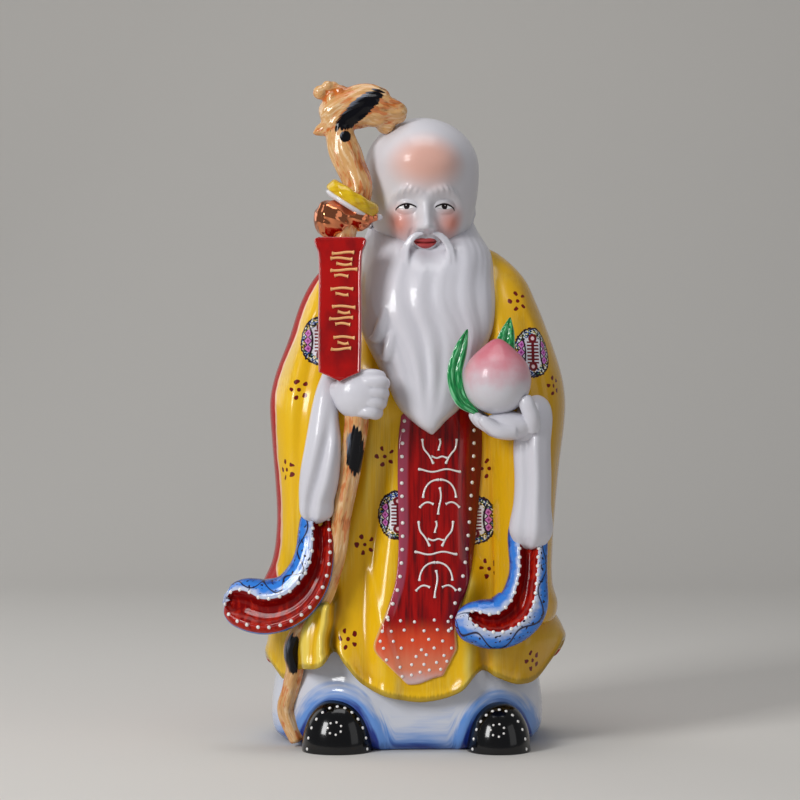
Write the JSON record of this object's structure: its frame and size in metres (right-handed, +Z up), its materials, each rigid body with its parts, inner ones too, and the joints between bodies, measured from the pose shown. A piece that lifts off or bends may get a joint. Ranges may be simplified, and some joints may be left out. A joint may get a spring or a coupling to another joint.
{
  "type": "porcelain figure",
  "caption": "Standing elder in glazed porcelain with a tall bald head, long beard and wide sleeves, holding a gnarled staff with a hanging tablet, and a peach on one palm.",
  "frame": {"origin": "middle of the flat underside, on the surface it stands on", "axes": "+Z up to the staff's top knob, -Y the way the face looks, +X towards the hand with the peach"},
  "size_m": [0.2309, 0.1901, 0.45],
  "materials": {
    "glaze": "gloss glaze over yellow, red, blue and white painting"
  },
  "bodies": {
    "root": {"figure": "glaze"}
  },
  "joints": []
}
